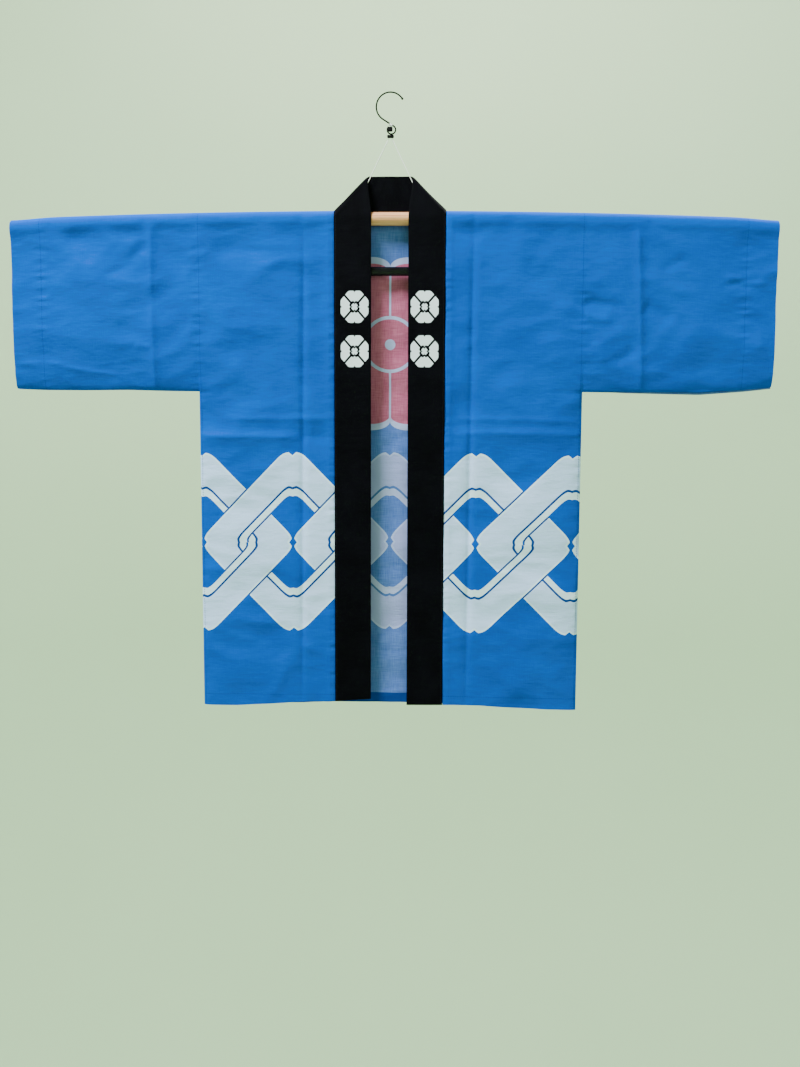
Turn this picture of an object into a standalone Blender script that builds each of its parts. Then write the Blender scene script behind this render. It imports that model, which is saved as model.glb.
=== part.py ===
"""A happi coat hung flat on a wooden rod, cut and sewn from straight lengths of cloth.

X runs along the rod, Y from the coat's front to its back and Z up. The sizes below are millimetres
about the middle of the rod's axis, and the finished meshes are metres about the inside of the hook's
crown, where the coat hangs. Side -1 is the left of the coat as it is seen from the front, and +1 the
right.
"""
import math

import bmesh
import bpy
import numpy as np
from mathutils import Vector

MILLIMETRE = 0.001
GAP = 0.3

# Rod, its string and its hook
ROD_DROP = 202.0
ROD_RADIUS = 11.0
ROD_END_RADIUS = 7.0
ROD_HALF_LENGTH = 560.0
ROD_BOW = 10.2
ROD_TILT = 0.0038
BAR_RADIUS = 7.5
BAR_HALF_LENGTH = 80.0
BAR_HEIGHT = -85.6
BAR_CORD_OUT = 65.0
BAR_CORD_RADIUS = 0.9
WIRE_RADIUS = 1.3
HOOK_RADIUS = 23.3
HOOK_CENTRE = (0.0, ROD_DROP + WIRE_RADIUS - HOOK_RADIUS)
HOOK_ANGLES = (33.0, 234.0)
HOOK_BALL_RADIUS = 2.0
EYE_RADIUS = 6.9
EYE_ANGLES = (66.0, -225.0)
EYE_CENTRE = (1.8, 143.4)
FERRULE_SIZE = (11.0, 5.0, 4.6)
KNOT_SIZE = (9.2, 5.0, 7.6)
STRING_RADIUS = 0.7
STRING_TOP_OUT = 2.6
STRING_FOOT_OUT = 60.5
STRING_DEPTH = 0.5

# Cloth
CLOTH = 1.5
HEM_LAYER = 1.2
COLLAR_CLOTH = 2.0
OFF_ROD = 0.4
BEND_RADIUS = ROD_RADIUS + OFF_ROD + CLOTH / 2
SEAM_DEPTH = (CLOTH + GAP) / 2
HEM_DEPTH = 10.0
COAT_LENGTH = 829.0
HEM_HEIGHT = 22.0
CUFF_HEM = 50.0
SIDE_SEAM = 324.0
SLEEVE_END = 637.0
SLEEVE_DROOP = 2.6
UNDERARM = -285.0
SIDE_ROUNDING = 90.0
UNDERARM_ROUNDING = 70.0
COLLAR_SEAM = 93.0
BAND_WIDTH = 62.0
NECK_ANGLE = 132.0

# Heights of the two front hems and of the back hem, out from the centre line
HEMS = (
    # out, left front, right front, left back, right back
    (0.0, -814.0, -824.0, -824.0, -824.0),
    (31.0, -814.0, -824.0, -824.0, -824.0),
    (107.0, -820.0, -823.0, -825.0, -825.0),
    (159.0, -820.5, -823.5, -827.0, -827.0),
    (212.0, -825.0, -827.0, -828.0, -828.5),
    (265.0, -828.5, -829.5, -829.0, -830.0),
    (324.0, -829.0, -831.0, -829.0, -831.0),
)
# Heights of the sleeves' lower edges, out from the centre line
SLEEVE_BOTTOMS = (
    # out, left, right
    (324.0, -285.0, -285.0),
    (373.0, -284.3, -284.1),
    (446.0, -282.4, -284.8),
    (518.0, -283.3, -285.4),
    (591.0, -282.8, -281.0),
    (637.0, -281.0, -276.5),
)
# Pressed folds right across the coat: a positive rise stands out from the cloth
FOLDS_ACROSS = (
    # height, rise, spread above, spread below
    (-366.0, 2.6, 30.0, 14.0),
    (-343.0, 1.0, 9.0, 9.0),
)
# Pressed folds up and down each half
FOLDS_DOWN = (
    # out, rise, spread inwards, spread outwards
    (143.0, -1.6, 14.0, 14.0),
    (406.0, 1.6, 14.0, 14.0),
)

# Where the grids of cloth have their lines
BODY_OUTS = (0, 47, COLLAR_SEAM + GAP / 2, 112, 129, 143, 157, 190, 225, 260, 290, 308, 319,
             SIDE_SEAM - GAP / 2)
BODY_HEIGHTS = (-700, -580, -470, -400, -380, -366, -352, -343, -334, -300, UNDERARM, -278, -266,
                -245, -200, -120, -45)
HEM_ROWS = (0.0, HEM_HEIGHT, HEM_HEIGHT + 1.5)
SLEEVE_OUTS = (SIDE_SEAM + GAP / 2, 350, 375, 392, 406, 420, 460, 500, 545, SLEEVE_END - CUFF_HEM - 1.5,
               SLEEVE_END - CUFF_HEM, 612, SLEEVE_END)
SLEEVE_ROWS = (0.0, 7.0, 19.0, 40.0)
SLEEVE_HEIGHTS = (-200, -120, -45)
BEND_ANGLES = (22, 44, 66, 88, 110, NECK_ANGLE, 156)
BAND_STEPS = 5
COLLAR_HEIGHTS = (-700, -580, -470, -400, -380, -366, -352, -343, -334, -285, -200, -120, -60)

# Collar where it turns over the neck
MITRE_FOOT = (-92.7, 8.6)
MITRE_TIP = (-40.0, 66.4)
MITRE_SQUARE = (-math.sqrt(0.5), math.sqrt(0.5))
FOLD_BULGE_AT_TIP = 3.0
FOLD_BULGE_AT_ROD = 10.0
FOLD_STEPS = 8
FRONT_DEPTH_AT_TIP = -2.5
BACK_DEPTH_AT_TOP = 5.0
BACK_SEAM_HEIGHT = 9.9
BACK_BAND_HEIGHT = 60.0
ROD_TURN_WIDTH = 25.0
LEAN_START = 3.0

FINISHES = {
    # name: colour, roughness, metallic
    "blue_cotton": ((0.011, 0.199, 0.584), 0.85, 0.0),
    "black_cotton": ((0.006, 0.006, 0.008), 0.80, 0.0),
    "pale_wood": ((0.680, 0.470, 0.300), 0.55, 0.0),
    "black_lacquer": ((0.008, 0.008, 0.009), 0.20, 0.0),
    "black_steel": ((0.030, 0.034, 0.032), 0.40, 0.9),
    "black_plastic": ((0.012, 0.012, 0.012), 0.45, 0.0),
    "white_string": ((0.780, 0.790, 0.760), 0.70, 0.0),
}


def clear_scene():
    """Take away whatever the scene starts with"""
    for item in list(bpy.data.objects):
        bpy.data.objects.remove(item, do_unlink=True)


def finish(name, kind):
    """A material of its own for one piece"""
    colour, roughness, metallic = FINISHES[kind]
    material = bpy.data.materials.new(name + "_" + kind)
    material.use_nodes = True
    shader = material.node_tree.nodes["Principled BSDF"]
    shader.inputs["Base Color"].default_value = (*colour, 1.0)
    shader.inputs["Roughness"].default_value = roughness
    shader.inputs["Metallic"].default_value = metallic
    return material


def place(points):
    """Points about the rod, in millimetres, as points about the hook's crown, in metres"""
    return (np.asarray(points, dtype=float) - (0.0, 0.0, ROD_DROP)) * MILLIMETRE


def add_piece(name, mesh, kind, sharp_angle=40.0):
    """Put a mesh into the scene as a named piece, smooth but for its sharp edges"""
    mesh.shade_smooth()
    mesh.set_sharp_from_angle(angle=math.radians(sharp_angle))
    piece = bpy.data.objects.new(name, mesh)
    piece.data.materials.append(finish(name, kind))
    bpy.context.scene.collection.objects.link(piece)
    return piece


def ease(value):
    """0 below 0, 1 above 1 and a smooth step between them"""
    value = np.clip(value, 0.0, 1.0)
    return value * value * (3.0 - 2.0 * value)


def round_in(value):
    """Quarter of an ellipse: 0 at a seam, 1 where the cloth hangs free"""
    value = np.clip(value, 0.0, 1.0)
    return np.sqrt(1.0 - (1.0 - value) ** 2)


def read_table(table, out, column):
    """One column of a table of sections, read between its rows"""
    rows = np.array(table)
    return np.interp(out, rows[:, 0], rows[:, column])


def rod_height(x):
    """Height of the line that lies ROD_RADIUS under the rod's bowed top, which is its axis in the middle"""
    return -ROD_BOW * (x / ROD_HALF_LENGTH) ** 2 - ROD_TILT * x


def cloth_axis(x):
    """Height of the line that the cloth bends round: the rod, and past its ends a slight droop"""
    past = (np.abs(x) - ROD_HALF_LENGTH) / (SLEEVE_END - ROD_HALF_LENGTH)
    return rod_height(x) - SLEEVE_DROOP * ease(past)


def fold_rise(out, height):
    """How far the pressed folds stand out from the hanging cloth"""
    rise = np.zeros(np.broadcast(out, height).shape)
    for place_at, amount, above, below in FOLDS_ACROSS:
        away = height - place_at
        rise = rise + amount * (1.0 - ease(np.abs(away) / np.where(away > 0, above, below)))
    for place_at, amount, inwards, outwards in FOLDS_DOWN:
        away = out - place_at
        rise = rise + amount * (1.0 - ease(np.abs(away) / np.where(away > 0, outwards, inwards)))
    return rise


def hanging_depth(out, height, axis, underarm):
    """Distance of the cloth's middle from the plane of the rod.

    It is the rod's bend at the top and falls to HEM_DEPTH at the hem. Towards the underarm seam of a
    sleeve, and towards the side seam under it, front and back close on each other in an ellipse.
    """
    below = axis - height
    free = BEND_RADIUS + (HEM_DEPTH - BEND_RADIUS) * ease(below / COAT_LENGTH)
    free = free + fold_rise(out, height) * ease(below / 60.0)
    sleeve = SEAM_DEPTH + (free - SEAM_DEPTH) * round_in((height - underarm) / UNDERARM_ROUNDING)
    to_side = round_in((SIDE_SEAM - out) / SIDE_ROUNDING)
    return np.where(out > SIDE_SEAM, sleeve, sleeve + (free - sleeve) * to_side)


def unit(vectors):
    """Vectors of length one"""
    return vectors / np.maximum(np.linalg.norm(vectors, axis=-1, keepdims=True), 1e-9)


def path_normals(points):
    """Outward normals of cloth that runs up the front, over the rod and down the back, square to X"""
    steps = unit(np.diff(points, axis=0) * (0.0, 1.0, 1.0))
    along = unit(np.concatenate([steps[:1], steps[:-1] + steps[1:], steps[-1:]]))
    return np.stack([np.zeros_like(along[..., 0]), -along[..., 2], along[..., 1]], axis=-1)


def surface_normals(points):
    """Outward normals of a grid whose rows run along the collar and whose columns run across it"""
    along = np.gradient(points, axis=0)
    across = np.gradient(points, axis=1)
    return unit(np.cross(across, along))


def cloth_wall(name, middle, normals, outward, inward, kept, kind):
    """A closed wall of cloth about a grid of points.

    The outer face lies outward and the inner face inward of the grid along its normals, and a rim
    closes them wherever a kept cell has no kept neighbour.
    """
    rows, columns = middle.shape[:2]
    outer = middle + normals * outward
    inner = middle - normals * inward
    used = np.zeros((rows, columns), dtype=bool)
    for down, across in ((0, 0), (0, 1), (1, 0), (1, 1)):
        used[down:rows - 1 + down, across:columns - 1 + across] |= kept
    number = np.full((rows, columns), -1)
    number[used] = np.arange(used.sum())
    count = int(used.sum())
    faces = []
    walled = np.pad(kept, 1)
    for row, column in np.argwhere(kept):
        corners = [number[row, column], number[row, column + 1], number[row + 1, column + 1],
                   number[row + 1, column]]
        faces.append([int(corner) for corner in corners])
        faces.append([int(corner) + count for corner in reversed(corners)])
        neighbours = (walled[row, column + 1], walled[row + 1, column + 2],
                      walled[row + 2, column + 1], walled[row + 1, column])
        for side, neighbour in enumerate(neighbours):
            if not neighbour:
                start, end = int(corners[side]), int(corners[(side + 1) % 4])
                faces.append([end, start, start + count, end + count])
    mesh = bpy.data.meshes.new(name)
    mesh.from_pydata(place(np.concatenate([outer[used], inner[used]])).tolist(), [], faces)
    work = bmesh.new()
    work.from_mesh(mesh)
    bmesh.ops.recalc_face_normals(work, faces=work.faces)
    work.to_mesh(mesh)
    work.free()
    return add_piece(name, mesh, kind)


def column_of_cloth(x, front_heights, back_heights, underarm):
    """One column of a panel: up the front, over the rod and down the back"""
    out = abs(x)
    axis = cloth_axis(x)
    front = np.array([*front_heights, axis])
    back = np.array([axis, *reversed(back_heights)])
    turn = np.radians(BEND_ANGLES)
    depth = np.concatenate([-hanging_depth(out, front, axis, underarm), -BEND_RADIUS * np.cos(turn),
                            hanging_depth(out, back, axis, underarm)])
    height = np.concatenate([front, axis + BEND_RADIUS * np.sin(turn), back])
    return np.stack([np.full(len(depth), x), depth, height], axis=-1)


def inner_face(middle, thickened):
    """Distance from the middle to the inner face, with the turned-in hem where the mask says.

    It stays just clear of the plane of the rod, where the other panel lies against it at a seam.
    """
    inward = CLOTH / 2 + HEM_LAYER * thickened
    return np.minimum(inward, np.maximum(np.abs(middle[..., 1]) - GAP / 2, CLOTH / 2))[..., None]


def build_body():
    """One width of cloth, back and both fronts, folded at the shoulders and cut open for the neck"""
    middle = []
    for x in (*(-out for out in reversed(BODY_OUTS[1:])), *BODY_OUTS):
        front_hem = 1 if x < 0 else 2
        front = read_table(HEMS, abs(x), front_hem)
        back = read_table(HEMS, abs(x), front_hem + 2)
        middle.append(column_of_cloth(x, [*(front + row for row in HEM_ROWS), *BODY_HEIGHTS],
                                      [*(back + row for row in HEM_ROWS), *BODY_HEIGHTS], UNDERARM))
    middle = np.stack(middle, axis=1)
    rows, columns = middle.shape[:2]
    thickened = np.zeros((rows, columns))
    thickened[:2] = 1.0
    thickened[-2:] = 1.0
    kept = np.ones((rows - 1, columns - 1), dtype=bool)
    neck_row = len(HEM_ROWS) + len(BODY_HEIGHTS) + 1 + BEND_ANGLES.index(NECK_ANGLE)
    neck_columns = np.abs(middle[0, :, 0]) < COLLAR_SEAM + GAP
    kept[:neck_row, neck_columns[:-1] & neck_columns[1:]] = False
    return cloth_wall("body", middle, path_normals(middle), CLOTH / 2, inner_face(middle, thickened), kept,
                      "blue_cotton")


def build_sleeve(name, side):
    """One length of cloth folded over the rod, seamed along its lower edge and open at the cuff"""
    middle = []
    for out in SLEEVE_OUTS:
        bottom = read_table(SLEEVE_BOTTOMS, out, 1 if side < 0 else 2)
        heights = [*(bottom + row for row in SLEEVE_ROWS), *SLEEVE_HEIGHTS]
        middle.append(column_of_cloth(side * out, heights, heights, bottom))
    middle = np.stack(middle, axis=1)
    thickened = np.zeros(middle.shape[:2])
    thickened[:, SLEEVE_OUTS.index(SLEEVE_END - CUFF_HEM):] = 1.0
    over_rod = middle[..., 2] > cloth_axis(middle[..., 0]) - 1.0
    beyond_rod = np.abs(middle[..., 0]) > ROD_HALF_LENGTH + 10.0
    thickened = np.where(over_rod & ~beyond_rod, 0.0, thickened)
    kept = np.ones((middle.shape[0] - 1, middle.shape[1] - 1), dtype=bool)
    return cloth_wall(name, middle, path_normals(middle), CLOTH / 2, inner_face(middle, thickened), kept,
                      "blue_cotton")


def mix(start, end, share):
    """Between two places, by a share from 0 to 1"""
    return start + (end - start) * share


def collar_turn(across):
    """The fold of the collar over the neck, on the left, for one line along the band.

    across is 0 at the seam and 1 at the free edge. At the seam the line bends round the rod. Farther
    up the band it turns over a soft fold square to the mitre, from the front layer to the back one.
    """
    radius = BEND_RADIUS + (COLLAR_CLOTH - CLOTH) / 2
    width = across * BAND_WIDTH
    turn = np.linspace(0.0, math.pi, FOLD_STEPS + 1)
    half_way = (1.0 - np.cos(turn)) / 2
    angle = math.radians(NECK_ANGLE) * turn / math.pi
    back_height = mix(BACK_SEAM_HEIGHT, BACK_SEAM_HEIGHT + BACK_BAND_HEIGHT, across)
    back_depth = mix(-radius * math.cos(math.radians(NECK_ANGLE)), BACK_DEPTH_AT_TOP, across)
    front_depth = mix(-radius, FRONT_DEPTH_AT_TIP, across)
    seam_x = -(COLLAR_SEAM - GAP / 2) + width
    lift = mix(width, back_height - radius * math.sin(math.radians(NECK_ANGLE)), half_way)
    round_rod = np.stack([np.full(len(turn), seam_x), -radius * np.cos(angle),
                          lift + radius * np.sin(angle)], axis=-1)
    bulge = mix(FOLD_BULGE_AT_TIP, FOLD_BULGE_AT_ROD, (1.0 - across) ** 1.5)
    set_back = bulge + COLLAR_CLOTH / 2
    start_x = mix(MITRE_FOOT[0], MITRE_TIP[0], across) - set_back * MITRE_SQUARE[0]
    start_z = mix(MITRE_FOOT[1], MITRE_TIP[1], across) - set_back * MITRE_SQUARE[1]
    end_x = start_x + back_height - start_z
    inwards = half_way ** 2
    over_mitre = np.stack([mix(start_x, end_x, inwards) + bulge * MITRE_SQUARE[0] * np.sin(turn),
                           mix(front_depth, back_depth, half_way),
                           mix(start_z, back_height, inwards) + bulge * MITRE_SQUARE[1] * np.sin(turn)],
                          axis=-1)
    return mix(round_rod, over_mitre, ease(width / ROD_TURN_WIDTH))


def collar_half(side):
    """Half the collar's middle surface, from its foot up the front and round to the centre back"""
    lines = []
    for step in range(BAND_STEPS + 1):
        across = step / BAND_STEPS
        out = COLLAR_SEAM - GAP / 2 - across * BAND_WIDTH
        hem = read_table(HEMS, out, 1 if side < 0 else 2)
        heights = np.array([hem, *COLLAR_HEIGHTS])
        depth = hanging_depth(out, heights, 0.0, UNDERARM) + (COLLAR_CLOTH - CLOTH) / 2
        front = np.stack([np.full(len(heights), -out), -depth, heights], axis=-1)
        turn = collar_turn(across)
        level = min(LEAN_START, turn[0, 2] - LEAN_START)
        to_turn = np.repeat(front[-1:], 3, axis=0)
        to_turn[:, 2] = (mix(heights[-1], level, 0.5), level, mix(level, turn[0, 2], 0.5))
        above_rod = np.clip((to_turn[:, 2] - LEAN_START) / max(turn[0, 2] - LEAN_START, 1.0), 0.0, 1.0)
        to_turn[:, 0] = mix(front[-1, 0], turn[0, 0], ease(above_rod))
        to_turn[:, 1] = mix(front[-1, 1], turn[0, 1], above_rod)
        back = mix(turn[-1], np.array([0.0, turn[-1, 1], turn[-1, 2]]), np.array([[0.33], [0.67], [1.0]]))
        lines.append(np.concatenate([front, to_turn, turn, back]))
    half = np.stack(lines, axis=1)
    half[..., 0] *= -side
    return half


def build_collar():
    """One doubled band up the left front, round the neck and down the right front"""
    left = collar_half(-1)
    right = collar_half(1)[::-1]
    middle = np.concatenate([left, right[1:]])
    kept = np.ones((middle.shape[0] - 1, middle.shape[1] - 1), dtype=bool)
    return cloth_wall("collar", middle, surface_normals(middle), COLLAR_CLOTH / 2, COLLAR_CLOTH / 2, kept,
                      "black_cotton")


def rounded_line(corners, steps):
    """A smooth line through the corners: a Catmull-Rom curve with the given steps between them"""
    corners = np.asarray(corners, dtype=float)
    ends = np.concatenate([[2 * corners[0] - corners[1]], corners, [2 * corners[-1] - corners[-2]]])
    share = (np.arange(steps) / steps)[:, None]
    spans = []
    for before, start, end, after in zip(ends, ends[1:], ends[2:], ends[3:]):
        spans.append(0.5 * (2 * start + (end - before) * share
                            + (2 * before - 5 * start + 4 * end - after) * share ** 2
                            + (3 * start - before - 3 * end + after) * share ** 3))
    return np.concatenate([*spans, corners[-1:]])


def build_round(name, line, radius, kind, bevel_resolution):
    """A round bar, wire or string along a line of points"""
    curve = bpy.data.curves.new(name, "CURVE")
    curve.dimensions = "3D"
    curve.bevel_depth = radius * MILLIMETRE
    curve.bevel_resolution = bevel_resolution
    curve.use_fill_caps = True
    spline = curve.splines.new("POLY")
    points = place(line)
    spline.points.add(len(points) - 1)
    for point, position in zip(spline.points, points):
        point.co = (*position, 1.0)
    piece = bpy.data.objects.new(name, curve)
    curve.materials.append(finish(name, kind))
    bpy.context.scene.collection.objects.link(piece)
    return piece


def build_block(name, centre, size, rounding, kind):
    """A small block with rounded edges"""
    mesh = bpy.data.meshes.new(name)
    work = bmesh.new()
    bmesh.ops.create_cube(work, size=1.0)
    for vertex in work.verts:
        vertex.co = place([axis + part * length for axis, part, length in zip(centre, vertex.co, size)])
    bmesh.ops.bevel(work, geom=list(work.edges), offset=rounding * MILLIMETRE, segments=2, profile=0.5,
                    affect="EDGES")
    work.to_mesh(mesh)
    work.free()
    return add_piece(name, mesh, kind, 50.0)


def build_rod():
    """The wooden rod inside the shoulders and sleeves: slightly bowed, and thinner towards its ends"""
    x = np.linspace(-ROD_HALF_LENGTH, ROD_HALF_LENGTH, 15)
    thinning = (ROD_RADIUS - ROD_END_RADIUS) * (x / ROD_HALF_LENGTH) ** 2
    line = np.stack([x, np.zeros_like(x), rod_height(x) + thinning], axis=-1)
    rod = build_round("rod", line, ROD_RADIUS, "pale_wood", 6)
    for point, less in zip(rod.data.splines[0].points, thinning):
        point.radius = 1.0 - less / ROD_RADIUS


def build_crossbar():
    """The black bar behind the collar, hung from the rod on two short cords"""
    ends = ((-BAR_HALF_LENGTH, 0.0, BAR_HEIGHT), (BAR_HALF_LENGTH, 0.0, BAR_HEIGHT))
    build_round("crossbar", ends, BAR_RADIUS, "black_lacquer", 6)
    for side, name in ((-1, "bar_cord_left"), (1, "bar_cord_right")):
        x = side * BAR_CORD_OUT
        top = rod_height(x) - ROD_RADIUS - GAP
        build_round(name, rounded_line([(x, 0.0, top), (x, 0.0, BAR_HEIGHT + BAR_RADIUS + GAP)], 6),
                    BAR_CORD_RADIUS, "black_plastic", 2)


def circle_points(centre, radius, start, end, steps):
    """Points in the plane of the rod along an arc, angles in degrees from +X"""
    angle = np.radians(np.linspace(start, end, steps + 1))
    return np.stack([centre[0] + radius * np.cos(angle), np.zeros(steps + 1),
                     centre[1] + radius * np.sin(angle)], axis=-1)


def build_hook():
    """One wire: the open crown, the slanting shank and the eye at its foot, with a ball at its tip"""
    crown = circle_points(HOOK_CENTRE, HOOK_RADIUS, *HOOK_ANGLES, 22)
    eye = circle_points(EYE_CENTRE, EYE_RADIUS, *EYE_ANGLES, 16)
    shank = rounded_line([crown[-1], mix(crown[-1], eye[0], 0.35), mix(crown[-1], eye[0], 0.7), eye[0]], 2)
    wire = build_round("hook_wire", np.concatenate([crown, shank[1:-1], eye]), WIRE_RADIUS,
                       "black_steel", 2)
    ball_mesh = bpy.data.meshes.new("hook_ball")
    work = bmesh.new()
    bmesh.ops.create_uvsphere(work, u_segments=12, v_segments=8, radius=HOOK_BALL_RADIUS * MILLIMETRE)
    for vertex in work.verts:
        vertex.co += Vector(place(crown[0]))
    work.to_mesh(ball_mesh)
    work.free()
    hook = bpy.data.objects.new("hook", solid_of(wire))
    hook.data.materials.clear()
    hook.data.materials.append(finish("hook", "black_steel"))
    bpy.context.scene.collection.objects.link(hook)
    bpy.data.objects.remove(wire, do_unlink=True)
    ball = add_piece("hook_ball_shape", ball_mesh, "black_steel")
    ball.hide_render = True
    ball.display_type = "WIRE"
    join = hook.modifiers.new("ball", "BOOLEAN")
    join.operation = "UNION"
    join.object = ball


def solid_of(piece):
    """The mesh of a curve piece"""
    view = bpy.context.evaluated_depsgraph_get()
    mesh = bpy.data.meshes.new_from_object(piece.evaluated_get(view))
    mesh.shade_smooth()
    return mesh


def build_fittings():
    """The ferrule that takes the strings, the knot on the hook's eye and the two strings"""
    ferrule_top = EYE_CENTRE[1] - EYE_RADIUS - WIRE_RADIUS - GAP
    ferrule_foot = ferrule_top - FERRULE_SIZE[2]
    build_block("ferrule", (0.3, 0.0, (ferrule_top + ferrule_foot) / 2), FERRULE_SIZE, 1.1, "black_plastic")
    build_block("knot", (-0.7, -(WIRE_RADIUS + GAP + KNOT_SIZE[1] / 2), EYE_CENTRE[1] - 0.4), KNOT_SIZE, 1.6,
                "black_plastic")
    for side, name in ((-1, "string_left"), (1, "string_right")):
        foot_x = side * STRING_FOOT_OUT
        top = (side * STRING_TOP_OUT, STRING_DEPTH, ferrule_foot - GAP - STRING_RADIUS)
        foot = (foot_x, STRING_DEPTH, rod_height(foot_x) + ROD_RADIUS + GAP + STRING_RADIUS / 2)
        build_round(name, rounded_line([top, foot], 8), STRING_RADIUS, "white_string", 2)


def main():
    clear_scene()
    build_body()
    build_sleeve("sleeve_left", -1)
    build_sleeve("sleeve_right", 1)
    build_collar()
    build_rod()
    build_crossbar()
    build_hook()
    build_fittings()


main()
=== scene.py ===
"""The looks of a blue cotton happi coat with a white chain print, hung on a wooden rod.

Lengths named in capitals are millimetres about the middle of the rod's axis, as the coat was measured:
X along the rod, Y from front to back, Z up. place() turns them into metres about the hook's crown.
"""
import math

import bpy
import numpy as np
from mathutils import Matrix, Vector


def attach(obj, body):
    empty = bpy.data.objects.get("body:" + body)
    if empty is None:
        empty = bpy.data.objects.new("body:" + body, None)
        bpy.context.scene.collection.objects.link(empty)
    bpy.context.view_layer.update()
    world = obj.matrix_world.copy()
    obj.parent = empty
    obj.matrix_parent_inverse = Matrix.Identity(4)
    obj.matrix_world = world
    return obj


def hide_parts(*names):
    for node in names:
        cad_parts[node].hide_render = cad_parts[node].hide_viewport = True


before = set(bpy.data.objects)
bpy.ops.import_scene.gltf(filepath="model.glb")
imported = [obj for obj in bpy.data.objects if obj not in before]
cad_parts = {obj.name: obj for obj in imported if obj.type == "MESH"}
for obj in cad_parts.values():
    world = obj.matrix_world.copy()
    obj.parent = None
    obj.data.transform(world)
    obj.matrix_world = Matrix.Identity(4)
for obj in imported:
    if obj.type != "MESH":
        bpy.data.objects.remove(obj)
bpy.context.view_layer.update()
MILLIMETRE = 0.001

# Camera, as fitted to the coat's outline
PHOTO_SIZE = (800, 1067)
FOCAL_PIXELS = 951.0
CAMERA_PLACE = (70.0, -1625.0, -371.0)
CAMERA_YAW = 1.82
CAMERA_PITCH = -5.45
CAMERA_ROLL = 0.21

# Rod, string and hook
ROD_DROP = 202.0
ROD_RADIUS = 11.0
ROD_HALF_LENGTH = 560.0
ROD_BOW = 10.2
ROD_TILT = 0.0038
BAR_RADIUS = 7.5
BAR_HEIGHT = -85.6
BAR_CORD_OUT = 65.0
BAR_CORD_RADIUS = 0.9
WIRE_RADIUS = 1.3
FERRULE_FOOT = 130.3
STRING_RADIUS = 0.7
STRING_TOP_OUT = 2.6
STRING_FOOT_OUT = 60.5
STRING_DEPTH = 0.5
GAP = 0.3
SEAM_GAP = 0.02

# White thread wound round the hook's shank: its middle, its direction in degrees, length and turns
WRAP_CENTRE = (0.6, 151.0)
WRAP_HEADING = -38.0
WRAP_LENGTH = 5.0
WRAP_TURNS = 6
THREAD_RADIUS = 0.45

# Cloth: WALL is the solid's wall, about whose middle the cloth hangs, and CLOTH is the thickness drawn
WALL = 1.5
CLOTH = 0.8
BEND_RADIUS = 12.15
SEAM_DEPTH = 0.9
HEM_DEPTH = 10.0
COAT_LENGTH = 829.0
HEM_HEIGHT = 22.0
CUFF_HEM = 50.0
SIDE_SEAM = 324.0
SLEEVE_END = 637.0
SLEEVE_DROOP = 2.6
UNDERARM = -285.0
SIDE_ROUNDING = 90.0
UNDERARM_ROUNDING = 70.0
COLLAR_SEAM = 93.0
COLLAR_WALL = 2.0
BAND_WIDTH = 62.0
NECK_ANGLE = 132.0
HALF_BEND = BEND_RADIUS * math.pi / 2

HEMS = (
    # out, left front, right front, left back, right back
    (0.0, -814.0, -824.0, -824.0, -824.0),
    (31.0, -814.0, -824.0, -824.0, -824.0),
    (107.0, -820.0, -823.0, -825.0, -825.0),
    (159.0, -820.5, -823.5, -827.0, -827.0),
    (212.0, -825.0, -827.0, -828.0, -828.5),
    (265.0, -828.5, -829.5, -829.0, -830.0),
    (324.0, -829.0, -831.0, -829.0, -831.0),
)
SLEEVE_BOTTOMS = (
    # out, left, right
    (324.0, -285.0, -285.0),
    (373.0, -284.3, -284.1),
    (446.0, -282.4, -284.8),
    (518.0, -283.3, -285.4),
    (591.0, -282.8, -281.0),
    (637.0, -281.0, -276.5),
)
# The right sleeve's back hangs a little lower than its front
SLEEVE_DROPS = (
    # out, left, right
    (324.0, 0.0, 0.0),
    (400.0, 0.4, 2.4),
    (520.0, 0.3, 4.0),
    (637.0, 0.6, 2.6),
)

# Collar where it turns over the neck
MITRE_FOOT = (-92.7, 13.0)
MITRE_TIP = (-40.0, 66.4)
MITRE_SQUARE = (-math.sqrt(0.5), math.sqrt(0.5))
FOLD_BULGE_AT_TIP = 3.0
FOLD_BULGE_AT_ROD = 10.0
FRONT_DEPTH_AT_TIP = -2.5
BACK_DEPTH_AT_TOP = 5.0
BACK_SEAM_HEIGHT = 9.9
BACK_BAND_HEIGHT = 60.0
ROD_TURN_WIDTH = 25.0
LEAN_START = 3.0

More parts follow.
